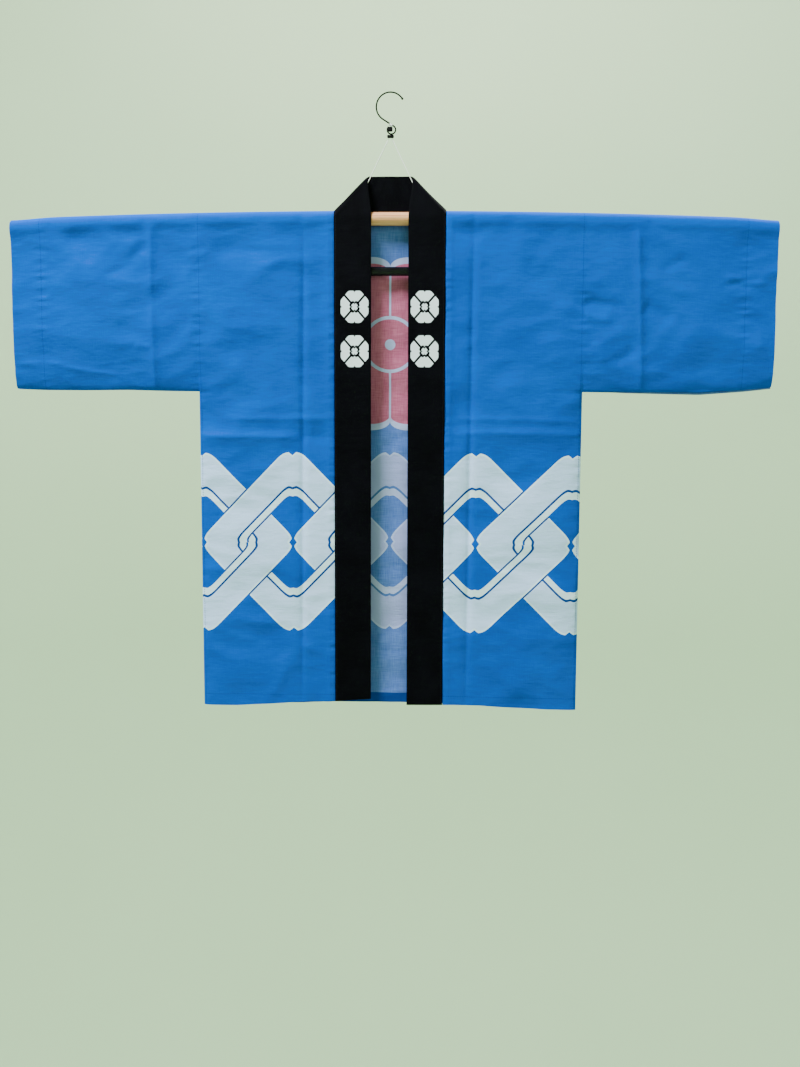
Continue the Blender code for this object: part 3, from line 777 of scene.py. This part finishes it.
# Sewing thread, drawn a little thicker than real, which is 0.4 mm
STITCH_WIDTH = 0.9
STITCH_LENGTH = 2.7
STITCH_PITCH = 4.1
STITCH_INSET = 4.0
COLLAR_STITCH = 2.5


def stitches(tree, *lines):
    """1 on the stitches of sewn lines. Each line is the distance from it and the run along it."""
    sewn = 0.0
    for beside, run in lines:
        near = calc(tree, "COMPARE", beside, 0.0, STITCH_WIDTH / 2)
        turn = calc(tree, "FLOORED_MODULO", run, STITCH_PITCH)
        thread = calc(tree, "LESS_THAN", turn, STITCH_LENGTH)
        stitch = calc(tree, "MULTIPLY", near, thread)
        sewn = calc(tree, "MAXIMUM", stitch, sewn)
    return sewn


def varied(tree, flat, yarns, light, dark, scale, amount):
    """A dyed ground between two close colours: broad clouds with the yarns' streaks over them"""
    clouds = noise(tree, flat, scale, 3.0, flat=True)
    streaks = calc(tree, "MULTIPLY", calc(tree, "ADD", yarns[0], yarns[1]), 0.5)
    share = add_node(tree, BLEND, {"Factor": amount, "A": clouds, "B": streaks})
    return blend(tree, stretch(tree, share, 0.32, 0.68), dark, light)


def dyed_cotton_outside():
    """Plain-woven dyed cotton, the printed face: matt, with a slight sheen and faint streaks of yarn"""
    material, tree = new_material("dyed_cotton_printed_face")
    flat, across, along, down = flat_places(tree)
    # Real yarns are 0.4 mm apart: they are drawn 1.1 mm thick, the finest that shows
    yarns = slubs(tree, flat, (1.1, 26.0), (1.1, 34.0), 3.0)
    ground = varied(tree, flat, yarns, colour("0050B8"), colour("0048AA"), 0.012, 0.55)
    tint = chain_print(tree, across, down, ground, (colour("BED3FF"), colour("D4E9FF"), colour("103C84")))
    tint = rosette(tree, across, along, tint, (colour("A80E22"), colour("D8ECFF")))
    _, out, _ = coat_places(tree)
    sewn = stitches(tree, (calc(tree, "SUBTRACT", out, SLEEVE_END - CUFF_HEM), along),
                    (calc(tree, "SUBTRACT", out, SIDE_SEAM - STITCH_INSET), along),
                    (calc(tree, "SUBTRACT", down, COAT_LENGTH - HEM_HEIGHT), across))
    # Painted shade: the stitches are tinted darker blue than the ground, for the shade in the dimples that
    # the thread pulls into the cloth
    tint = blend(tree, sewn, tint, colour("003A8E"))
    finish_cloth(tree, tint, cloth_bump(tree, flat, yarns, 0.35, sewn), 0.12, colour("1C7FDC"))
    return material


def dyed_cotton_inside():
    """The back of the same cloth, where the dye has only half come through the weave"""
    material, tree = new_material("dyed_cotton_wrong_side")
    flat, across, along, down = flat_places(tree)
    yarns = slubs(tree, flat, (1.3, 22.0), (1.3, 26.0), 9.0)
    ground = varied(tree, flat, yarns, colour("607CC2"), colour("4060AA"), 0.02, 0.8)
    tint = chain_print(tree, across, down, ground, (colour("989FD4"), colour("A8B0DE"), colour("4A68A6")))
    red = varied(tree, flat, yarns, colour("BF6E8C"), colour("9E4C6C"), 0.02, 0.8)
    tint = rosette(tree, across, along, tint, (red, colour("A8B0DE")))
    turned_in = calc(tree, "GREATER_THAN", down, COAT_LENGTH - HEM_HEIGHT)
    tint = blend(tree, turned_in, tint, colour("08388A"))
    finish_cloth(tree, tint, cloth_bump(tree, flat, yarns, 0.7), 0.1, colour("7FA6D0"))
    return material


# Two white motifs on each front of the collar: four petals about a small core
MOTIF_OUT = 58.5
MOTIF_HEIGHTS = (-145.6, -218.6)
MOTIF_SIZE = 26.0
MOTIF_RING = 10.0
MOTIF_CORE = 6.0
MOTIF_LINE = 2.6
MOTIF_NARROW = 1.13
MOTIF_CORNER = 0.70
MOTIF_NOTCH = 2.6
MOTIF_ROUNDING = 3.0
MOTIF_SCALE = 100.0


def motif_ink(tree):
    """1 on the white of the collar's motifs and 0 on the cloth, by places on the finished coat.

    A motif is measured by the larger of its two distances from the centre, grown near the diagonals
    so that its corners are cut, and grown on the axes so that each side is notched. A thin line along
    both diagonals parts it into four petals.
    """
    _, out, up = coat_places(tree)
    across = calc(tree, "ABSOLUTE", calc(tree, "SUBTRACT", out, MOTIF_OUT))
    middle = (MOTIF_HEIGHTS[0] + MOTIF_HEIGHTS[1]) / 2
    half_pitch = (MOTIF_HEIGHTS[0] - MOTIF_HEIGHTS[1]) / 2
    height = calc(tree, "ABSOLUTE", calc(tree, "SUBTRACT", up, middle))
    height = calc(tree, "ABSOLUTE", calc(tree, "SUBTRACT", height, half_pitch))
    wide = calc(tree, "MULTIPLY", across, MOTIF_NARROW)
    larger = calc(tree, "MAXIMUM", wide, height)
    smaller = calc(tree, "MINIMUM", wide, height)
    corner = calc(tree, "MULTIPLY", calc(tree, "ADD", wide, height), MOTIF_CORNER)
    notch = calc(tree, "MULTIPLY_ADD", smaller, -0.5, 1.0, use_clamp=True)
    side = calc(tree, "MULTIPLY_ADD", notch, MOTIF_NOTCH, larger)
    size = calc(tree, "SMOOTH_MAX", side, corner, MOTIF_ROUNDING)
    white, clear = (1.0, 1.0, 1.0, 1.0), (0.0, 0.0, 0.0, 1.0)
    rings = colour_steps(tree, size, MOTIF_SCALE, ((0.0, white), (MOTIF_CORE, clear), (MOTIF_RING, white),
                                                   (MOTIF_SIZE, clear)))
    from_diagonal = calc(tree, "SUBTRACT", larger, smaller)
    parted = calc(tree, "GREATER_THAN", from_diagonal, MOTIF_LINE)
    in_core = calc(tree, "LESS_THAN", size, MOTIF_CORE)
    parted = calc(tree, "MAXIMUM", parted, in_core)
    return calc(tree, "MULTIPLY", rings.outputs["Color"], parted)


def black_cotton(name, printed):
    """Doubled black cotton of the collar: nearly black, with a faint cool sheen"""
    material, tree = new_material(name)
    flat, across, along, _ = flat_places(tree)
    yarns = slubs(tree, flat, (1.1, 24.0), (1.1, 30.0), 5.0)
    ground = varied(tree, flat, yarns, colour("0C0C11"), colour("070709"), 0.02, 0.5)
    if printed:
        ground = blend(tree, motif_ink(tree), ground, colour("E4ECF8"))
    sewn = stitches(tree, (calc(tree, "SUBTRACT", across, COLLAR_STITCH), along))
    ground = blend(tree, sewn, ground, colour("1A1A22"))
    finish_cloth(tree, ground, cloth_bump(tree, flat, yarns, 0.35, sewn), 0.02, colour("30303C"))
    return material


def bare_wood():
    """Sanded pale wood, such as ramin: straight fine grain along the rod, with short dark pores"""
    material, tree = new_material("sanded_pale_wood")
    metres, _, _ = coat_places(tree)
    long = add_node(tree, "ShaderNodeMapping", {0: metres, "Scale": (9.0, 330.0, 330.0)})
    grain = noise(tree, long, 1.0, 4.0)
    fine = add_node(tree, "ShaderNodeMapping", {0: metres, "Scale": (60.0, 1400.0, 1400.0)})
    pores = noise(tree, fine, 1.0, 2.0)
    tint = blend(tree, stretch(tree, grain, 0.35, 0.65), colour("D28A5C"), colour("F2B488"))
    tint = blend(tree, stretch(tree, pores, 0.62, 0.72), tint, colour("B07C50"))
    bump = add_node(tree, "ShaderNodeBump", {"Height": pores, "Strength": 0.25, "Distance": 0.0003})
    shade(tree, {"Base Color": tint, "Roughness": 0.48, "IOR": 1.5, "Normal": bump})
    return material


def simple_finish(name, light, dark, roughness, speck, bump_strength, gloss=0.5):
    """A moulded, coated or spun surface: two close colours in small clouds, with a fine uneven bump.

    speck is the clouds' size in millimetres, and gloss is the strength of the shine.
    """
    material, tree = new_material(name)
    metres, _, _ = coat_places(tree)
    clouds = noise(tree, metres, 1000.0 / speck, 3.0)
    tint = blend(tree, stretch(tree, clouds, 0.35, 0.65), colour(dark), colour(light))
    rough = stretch(tree, clouds, 0.3, 0.7, roughness * 0.85, roughness * 1.15)
    bump = add_node(tree, "ShaderNodeBump", {"Height": clouds, "Strength": bump_strength, "Distance": 0.0003})
    shade(tree, {"Base Color": tint, "Roughness": rough, "Specular IOR Level": gloss, "Normal": bump})
    return material


def make_camera():
    """The photograph's camera: its place, its turn from looking along +Y, and its lens"""
    lens = bpy.data.cameras.new("camera")
    lens.sensor_width = 36.0
    lens.lens = FOCAL_PIXELS / PHOTO_SIZE[1] * lens.sensor_width
    camera = bpy.data.objects.new("camera", lens)
    turn = Matrix.Identity(4)
    for degrees, axis in ((CAMERA_YAW, "Z"), (CAMERA_PITCH, "X"), (-CAMERA_ROLL, "Y"), (90.0, "X")):
        turn = turn @ Matrix.Rotation(math.radians(degrees), 4, axis)
    camera.matrix_world = Matrix.Translation(Vector(place(CAMERA_PLACE))) @ turn
    bpy.context.scene.collection.objects.link(camera)
    bpy.context.scene.camera = camera


def curve_piece(name, line, radius, facets, material):
    """A round string along a line of points in metres, closed at its ends"""
    curve = bpy.data.curves.new(name, "CURVE")
    curve.dimensions = "3D"
    curve.bevel_depth = radius * MILLIMETRE
    curve.bevel_resolution = facets
    curve.use_fill_caps = True
    spline = curve.splines.new("POLY")
    spline.points.add(len(line) - 1)
    spline.points.foreach_set("co", np.column_stack([line, np.ones(len(line))]).ravel())
    curve.materials.append(material)
    piece = bpy.data.objects.new(name, curve)
    bpy.context.scene.collection.objects.link(piece)
    return piece


def cord_piece(name, node, start, end, radius, material):
    """A straight taut string between two of the coat's fittings, with a point every few millimetres"""
    line = place(mix(np.array(start), np.array(end), np.linspace(0.0, 1.0, 17)[:, None]))
    piece = curve_piece(name, line, radius, 3, material)
    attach(piece, "root")
    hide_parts(node)


def make_cords():
    """The white string in two straight runs, and the black bar's two short cords"""
    string = simple_finish("white_twisted_string", "FBFBF8", "E4E6E0", 0.75, 1.2, 0.6)
    black = simple_finish("black_braided_cord", "1E1E1F", "0C0C0D", 0.7, 1.2, 0.6)
    for side, word in ((-1, "left"), (1, "right")):
        foot_x = side * STRING_FOOT_OUT
        top = (side * STRING_TOP_OUT, STRING_DEPTH, FERRULE_FOOT - GAP - STRING_RADIUS)
        foot = (foot_x, STRING_DEPTH, rod_height(foot_x) + ROD_RADIUS + GAP + STRING_RADIUS / 2)
        cord_piece(f"twisted_string_{word}", f"string_{word}", top, foot, STRING_RADIUS, string)
        x = side * BAR_CORD_OUT
        top = (x, 0.0, rod_height(x) - ROD_RADIUS - GAP)
        foot = (x, 0.0, BAR_HEIGHT + BAR_RADIUS + GAP)
        cord_piece(f"braided_cord_{word}", f"bar_cord_{word}", top, foot, BAR_CORD_RADIUS, black)
    return string


def make_thread_wrap(material):
    """White thread wound round the hook's shank, just above the eye"""
    share = np.linspace(0.0, 1.0, 12 * WRAP_TURNS + 1)
    turn = share * WRAP_TURNS * math.tau
    heading = math.radians(WRAP_HEADING)
    reach = (WIRE_RADIUS + THREAD_RADIUS) * np.cos(turn)
    along = (share - 0.5) * WRAP_LENGTH
    line = place(np.stack([WRAP_CENTRE[0] + along * math.cos(heading) - reach * math.sin(heading),
                           (WIRE_RADIUS + THREAD_RADIUS) * np.sin(turn),
                           WRAP_CENTRE[1] + along * math.sin(heading) + reach * math.cos(heading)], axis=-1))
    piece = curve_piece("thread_wrap", line, THREAD_RADIUS, 1, material)
    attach(piece, "root")


BODY_LINES = graded((0.0, 8.5), (COLLAR_SEAM + GAP / 2, 2.2), (104.0, 8.0), (129.0, 2.2), (155.0, 8.6),
                    (302.0, 2.6), (SIDE_SEAM - SEAM_GAP / 2, 1.0))
HEM_ROWS = (0.0, 2.0, 7.0, 12.0, 17.0, 21.2, 22.8)
FRONT_ROWS = 248
BACK_ROWS = 204
BEND_STEPS = 14


def build_body(outside, inside):
    """Back and both fronts in one width of cloth over the shoulders, cut open for the neck"""
    x = np.concatenate([-BODY_LINES[:0:-1], BODY_LINES])
    out = np.abs(x)
    axis = cloth_axis(x)
    left = x < 0
    heights = []
    for rows, left_hem, right_hem in ((FRONT_ROWS, 1, 2), (BACK_ROWS, 3, 4)):
        hem = np.where(left, read_table(HEMS, out, left_hem), read_table(HEMS, out, right_hem))
        start = hem + HEM_ROWS[-1]
        up = np.linspace(0.0, 1.0, rows + 1)[1:, None]
        heights.append(np.concatenate([hem + np.array(HEM_ROWS)[:, None], mix(start, axis, up)]))
    front, back = heights[0], heights[1][::-1]
    points, flat = wrap(x, front, back, UNDERARM, BEND_STEPS)
    points = swell_top(points, len(front), BEND_STEPS)
    flat[:len(front), :, 0] = np.interp(flat[:len(front), :, 0], *np.array(PRINT_PLACES).T)
    rows, columns = points.shape[:2]
    kept = np.ones((rows - 1, columns - 1), dtype=bool)
    neck_row = len(front) - 1 + round(NECK_ANGLE / 180.0 * BEND_STEPS)
    in_neck = out < COLLAR_SEAM + GAP
    kept[:neck_row, in_neck[:-1] & in_neck[1:]] = False
    quads = grid_faces(rows, columns, kept)
    doubled = np.zeros((rows, columns), dtype=bool)
    doubled[:len(HEM_ROWS) - 1] = True
    doubled[-len(HEM_ROWS) + 1:] = True
    piece = surface_piece("coat_body", points, quads, flat, crisp=True)
    piece.data.materials.append(outside)
    thicken(piece, CLOTH, inside, doubled.ravel()[np.unique(quads)])
    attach(piece, "root")
    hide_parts("body")


SLEEVE_LINES = graded((SIDE_SEAM + SEAM_GAP / 2, 2.2), (340.0, 6.0), (385.0, 2.6), (432.0, 6.5), (566.0, 3.2),
                      (612.0, 5.0), (SLEEVE_END, 1.0))
SLEEVE_ROWS = 96
ROW_CROWDING = 1.35


def build_sleeve(name, node, side, outside, inside):
    """A tube of cloth over the rod, flat in its hang, seamed along its lower edge and open at the cuff"""
    x = side * SLEEVE_LINES[::side]
    axis = cloth_axis(x)
    column = 1 if side < 0 else 2
    bottom = read_table(SLEEVE_BOTTOMS, np.abs(x), column)
    share = np.linspace(0.0, 1.0, SLEEVE_ROWS + 1)[:, None]
    up = mix(share ** ROW_CROWDING, share, share)
    front = mix(bottom, axis, up)
    drop = read_table(SLEEVE_DROPS, np.abs(x), column)
    back = mix(bottom - drop, axis, up)[::-1]
    points, flat = wrap(x, front, back, bottom, BEND_STEPS)
    points = swell_top(points, len(front), BEND_STEPS)
    quads = grid_faces(*points.shape[:2])
    piece = surface_piece(name, points, quads, flat, crisp=True)
    piece.data.materials.append(outside)
    doubled = np.broadcast_to(np.abs(x) > SLEEVE_END - CUFF_HEM, points.shape[:2])
    thicken(piece, CLOTH, inside, doubled.ravel())
    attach(piece, "root")
    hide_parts(node)


def collar_turn(across, steps):
    """The fold of the collar over the neck, on the left, for one line along the band.

    across is 0 at the seam and 1 at the free edge. At the seam the line bends round the rod. Farther
    up the band it turns over a soft fold square to the mitre, from the front layer to the back one.
    """
    radius = BEND_RADIUS + (COLLAR_WALL - WALL) / 2
    width = across * BAND_WIDTH
    turn = np.linspace(0.0, math.pi, steps + 1)
    half_way = (1.0 - np.cos(turn)) / 2
    angle = math.radians(NECK_ANGLE) * turn / math.pi
    back_height = mix(BACK_SEAM_HEIGHT, BACK_SEAM_HEIGHT + BACK_BAND_HEIGHT, across)
    back_depth = mix(-radius * math.cos(math.radians(NECK_ANGLE)), BACK_DEPTH_AT_TOP, across)
    front_depth = mix(-radius, FRONT_DEPTH_AT_TIP, across)
    seam_x = -(COLLAR_SEAM - GAP / 2) + width
    lift = mix(width, back_height - radius * math.sin(math.radians(NECK_ANGLE)), half_way)
    round_rod = np.stack([np.full(len(turn), seam_x), -radius * np.cos(angle),
                          lift + radius * np.sin(angle)], axis=-1)
    bulge = mix(FOLD_BULGE_AT_TIP, FOLD_BULGE_AT_ROD, (1.0 - across) ** 1.5)
    set_back = bulge + COLLAR_WALL / 2
    start_x = mix(MITRE_FOOT[0], MITRE_TIP[0], across) - set_back * MITRE_SQUARE[0]
    start_z = mix(MITRE_FOOT[1], MITRE_TIP[1], across) - set_back * MITRE_SQUARE[1]
    end_x = start_x + back_height - start_z
    inwards = half_way ** 2
    over_mitre = np.stack([mix(start_x, end_x, inwards) + bulge * MITRE_SQUARE[0] * np.sin(turn),
                           mix(front_depth, back_depth, half_way),
                           mix(start_z, back_height, inwards) + bulge * MITRE_SQUARE[1] * np.sin(turn)],
                          axis=-1)
    return mix(round_rod, over_mitre, ease(width / ROD_TURN_WIDTH))


COLLAR_ACROSS = 18
COLLAR_UP = 190
COLLAR_FOLD = 26
COLLAR_LEVEL = 14
COLLAR_LEAN = 11
# Up to this height the collar lies flat with the fronts
FLAT_UP_TO = -60.0
# Form of the band across its width: how far its seam and its free edge are rounded, and how wide
CROWN = 0.35
SEAM_CROWN = 6.0
EDGE_CROWN = 5.0
# The band is drawn a little thinner than the solid: what is taken from its outer face and in all
BAND_INSET = 0.15
BAND_THINNER = 0.4


def collar_half(side):
    """Half the collar's middle surface, from its foot up the front and round to the centre back"""
    lines = []
    for step in range(COLLAR_ACROSS + 1):
        across = step / COLLAR_ACROSS
        out = COLLAR_SEAM - GAP / 2 - across * BAND_WIDTH
        hem = read_table(HEMS, out, 1 if side < 0 else 2)
        heights = mix(hem, FLAT_UP_TO, np.linspace(0.0, 1.0, COLLAR_UP + 1))
        depth = hanging_depth(out, heights, 0.0, UNDERARM) + (COLLAR_WALL - WALL) / 2
        front = np.stack([np.full(len(heights), -out), -depth, heights], axis=-1)
        turn = collar_turn(across, COLLAR_FOLD)
        level = min(LEAN_START, turn[0, 2] - LEAN_START)
        rise = np.concatenate([mix(heights[-1], level, np.linspace(0.0, 1.0, COLLAR_LEVEL + 1)[1:]),
                               mix(level, turn[0, 2], np.linspace(0.0, 1.0, COLLAR_LEAN + 1)[1:-1])])
        to_turn = np.repeat(front[-1:], len(rise), axis=0)
        to_turn[:, 2] = rise
        above_rod = np.clip((rise - LEAN_START) / max(turn[0, 2] - LEAN_START, 1.0), 0.0, 1.0)
        to_turn[:, 0] = mix(front[-1, 0], turn[0, 0], ease(above_rod))
        to_turn[:, 1] = mix(front[-1, 1], turn[0, 1], above_rod)
        middle_back = np.array([0.0, turn[-1, 1], turn[-1, 2]])
        back = mix(turn[-1], middle_back, np.linspace(0.0, 1.0, COLLAR_LEVEL + 1)[1:, None])
        lines.append(np.concatenate([front, to_turn, turn, back]))
    half = np.stack(lines, axis=1)
    half[..., 0] *= -side
    return half


def unit(vectors):
    """Vectors of length one"""
    return vectors / np.maximum(np.linalg.norm(vectors, axis=-1, keepdims=True), 1e-9)


def build_collar(printed, plain):
    """One doubled band up the left front, round the neck and down the right front"""
    middle = np.concatenate([collar_half(-1), collar_half(1)[::-1][1:]])
    along = np.gradient(middle, axis=0)
    across = np.gradient(middle, axis=1)
    normals = unit(np.cross(across, along))
    length = np.concatenate([[0.0], np.cumsum(np.linalg.norm(np.diff(middle[:, 0], axis=0), axis=1))])
    width = np.linspace(0.0, BAND_WIDTH, middle.shape[1])
    band = np.stack(np.meshgrid(width, length), axis=-1)
    crown = CROWN * round_in(width / SEAM_CROWN) * round_in((BAND_WIDTH - width) / EDGE_CROWN) - CROWN
    wave = 0.3 * waves(band[..., 0], band[..., 1] * 0.7, 71, 120.0, 40.0)
    edge = puckers(band[..., 1], 72) * hill(band[..., 0] - 2.0, 6.0) * 0.7
    outward = COLLAR_WALL / 2 - BAND_INSET + crown[None, :] + wave + edge
    points = middle + normals * outward[..., None]
    piece = surface_piece("collar_band", points, grid_faces(*points.shape[:2]), band)
    piece.data.materials.append(printed)
    thicken(piece, COLLAR_WALL - BAND_THINNER, plain)
    soft = piece.modifiers.new("rolled edges", "BEVEL")
    soft.width = 0.5 * MILLIMETRE
    soft.segments = 2
    soft.limit_method = "ANGLE"
    soft.angle_limit = math.radians(60.0)
    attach(piece, "root")
    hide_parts("collar")


def build_stage():
    """A plain pale floor that curves up into a wall all round, far from the coat"""
    radius, corner, floor, top = 5.6, 3.0, -5.0, 4.0
    turn = np.linspace(0.0, math.pi / 2, 14)
    profile = np.concatenate([[[0.001, floor]], [[2.0, floor]], [[radius - corner, floor]],
                              np.stack([radius - corner + corner * np.sin(turn),
                                        floor + corner - corner * np.cos(turn)], axis=-1)[1:],
                              [[radius, top]]])
    angle = np.linspace(0.0, math.tau, 97)[:-1]
    points = np.stack([profile[:, None, 0] * np.cos(angle), profile[:, None, 0] * np.sin(angle),
                       profile[:, None, 1] + 0.0 * angle], axis=-1) * 1000.0
    points[..., 2] += ROD_DROP
    points = np.concatenate([points, points[:, :1]], axis=1)
    stage = surface_piece("pale_stage", points, grid_faces(*points.shape[:2])[:, ::-1])
    material, tree = new_material("pale_green_paint")
    metres, _, _ = coat_places(tree)
    tint = blend(tree, noise(tree, metres, 0.7, 3.0), colour("BFD9B3"), colour("C7DEBC"))
    shade(tree, {"Base Color": tint, "Roughness": 0.9})
    stage.data.materials.append(material)


def area_light(name, place_at, target, size, power, tint):
    """A round soft light that faces a target"""
    lamp = bpy.data.lights.new(name, "AREA")
    lamp.shape = "DISK"
    lamp.size = size
    lamp.energy = power
    lamp.color = tint
    light = bpy.data.objects.new(name, lamp)
    light.location = place_at
    light.rotation_euler = (Vector(target) - Vector(place_at)).to_track_quat("-Z", "Y").to_euler()
    bpy.context.scene.collection.objects.link(light)


def build_lights():
    """Soft light from above and the left in front, light on the wall, and an even pale surround"""
    coat = (0.0, 0.0, -0.6)
    area_light("sky_light", (-1.5, -1.35, 2.5), coat, 1.3, 365.0, (0.93, 0.97, 1.0))
    area_light("front_fill", (1.6, -3.6, 0.2), coat, 3.0, 24.0, (0.98, 0.98, 1.0))
    area_light("back_light", (1.2, 1.3, 2.2), coat, 1.2, 170.0, (0.97, 0.99, 1.0))
    area_light("wall_light", (0.0, 2.2, 3.8), (0.0, 5.6, 0.6), 3.0, 280.0, (1.0, 1.0, 0.98))
    world = bpy.data.worlds.new("surround")
    world.use_nodes = True
    background = world.node_tree.nodes["Background"]
    background.inputs["Color"].default_value = colour("E4ECE2")
    background.inputs["Strength"].default_value = 0.3
    bpy.context.scene.world = world


def dress_node(node, material):
    """Give a carried-over CAD node its finish"""
    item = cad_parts[node]
    item.data.materials.clear()
    item.data.materials.append(material)


def main():
    make_camera()
    make_thread_wrap(make_cords())
    outside = dyed_cotton_outside()
    inside = dyed_cotton_inside()
    build_body(outside, inside)
    build_sleeve("coat_sleeve_left", "sleeve_left", -1, outside, inside)
    build_sleeve("coat_sleeve_right", "sleeve_right", 1, outside, inside)
    build_collar(black_cotton("black_cotton_printed", True), black_cotton("black_cotton_plain", False))
    dress_node("rod", bare_wood())
    gloss = simple_finish("black_gloss_lacquer", "0D0C12", "070709", 0.2, 9.0, 0.05, 0.2)
    dress_node("crossbar", gloss)
    wire = simple_finish("black_coated_steel_wire", "0A0C0B", "060707", 0.65, 4.0, 0.1, 0.05)
    dress_node("hook", wire)
    moulded = simple_finish("black_moulded_plastic", "0C0C0D", "070708", 0.6, 3.0, 0.1, 0.1)
    dress_node("ferrule", moulded)
    dress_node("knot", moulded)
    build_stage()
    build_lights()


main()
